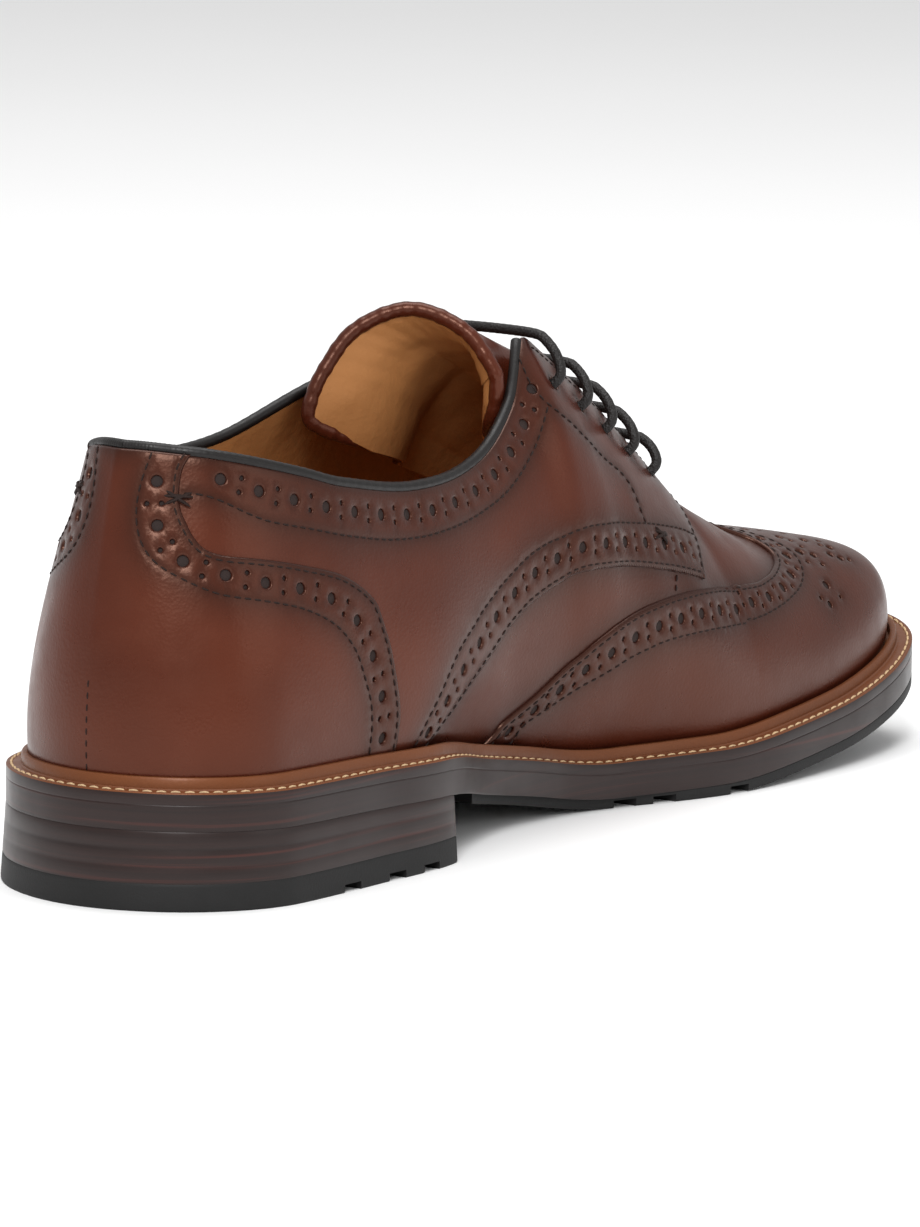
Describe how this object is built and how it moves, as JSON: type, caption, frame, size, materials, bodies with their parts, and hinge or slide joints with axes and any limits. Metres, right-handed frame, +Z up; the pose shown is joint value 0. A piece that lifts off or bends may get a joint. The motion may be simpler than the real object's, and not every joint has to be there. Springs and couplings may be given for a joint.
{
  "type": "brogue shoe",
  "caption": "Left leather brogue derby shoe with wing cap, open laced facings, storm welt, stacked heel and rubber tread, standing empty on its sole.",
  "frame": {"origin": "on the floor, under the middle of the shoe's footprint", "axes": "+X towards the toe, +Y towards the outer side, +Z up"},
  "size_m": [0.3042, 0.1014, 0.1197],
  "materials": {
    "heel_rubber": "matt charcoal rubber",
    "stacked_leather": "dark brown stacked layers, waxed edge",
    "tread_rubber": "matt charcoal rubber",
    "sole_leather": "dark brown waxed edge",
    "welt_leather": "tan brown, satin",
    "insole_leather": "tan lining leather, matt",
    "upper_leather": "burnished red brown, polished",
    "tongue_leather": "red brown, satin, lined in tan",
    "binding_leather": "near black rolled binding",
    "lace_cord": "dark waxed cord"
  },
  "bodies": {
    "root": {"heel_top_lift": "heel_rubber", "heel_stack": "stacked_leather", "outsole": "tread_rubber", "midsole": "sole_leather", "welt": "welt_leather", "insole": "insole_leather", "upper": "upper_leather", "tongue": "tongue_leather", "collar_binding": "binding_leather", "lace_bar_1": "lace_cord", "lace_bar_2": "lace_cord", "lace_bar_3": "lace_cord", "lace_bar_4": "lace_cord", "lace_bar_5": "lace_cord"}
  },
  "joints": []
}
